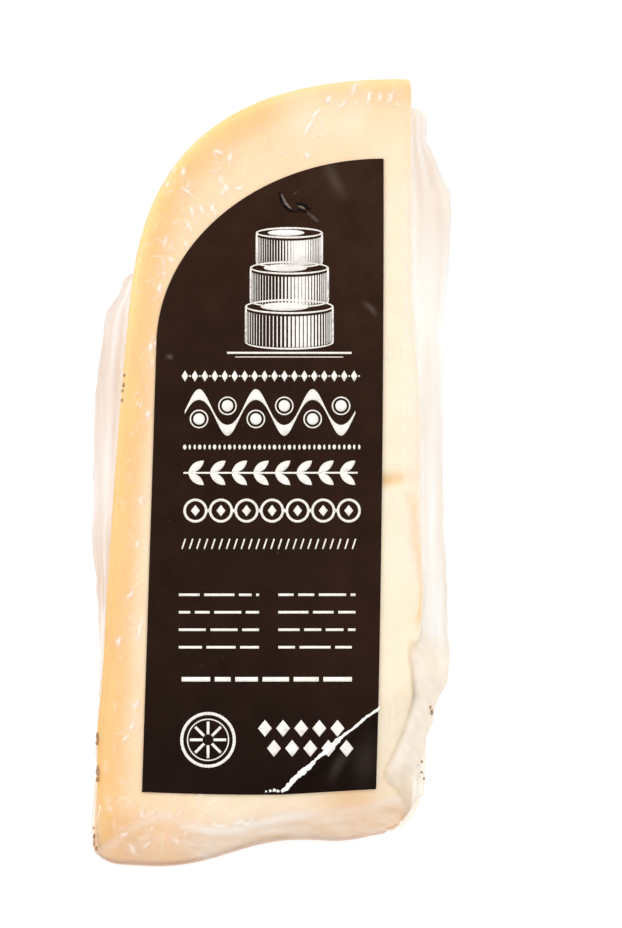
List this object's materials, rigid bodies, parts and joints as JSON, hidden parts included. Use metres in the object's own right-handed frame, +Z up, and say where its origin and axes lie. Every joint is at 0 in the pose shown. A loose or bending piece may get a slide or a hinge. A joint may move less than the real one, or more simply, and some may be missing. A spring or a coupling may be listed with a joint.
{
  "type": "wrapped cheese wedge",
  "caption": "Thin wedge of pale semi-hard cheese cut from half a round wheel, sealed in tight clear film, with a dark label on one cut face.",
  "frame": {"origin": "middle of the underside of the whole pack's box, on the floor", "axes": "+Y along the wedge from its trimmed tip to its rim, +X towards the flat side cut on the wheel's middle plane, +Z up from the lower cut face"},
  "size_m": [0.0612, 0.1314, 0.0388],
  "materials": {
    "cheese": "pale yellow cheese under tight clear film, glossy",
    "label": "dark brown coated paper, satin, with cream print",
    "film": "clear shrink film, creased and slightly milky"
  },
  "bodies": {
    "root": {"cheese_wedge": "cheese", "label": "label", "film_fin_right": "film", "film_fin_left": "film"}
  },
  "joints": []
}
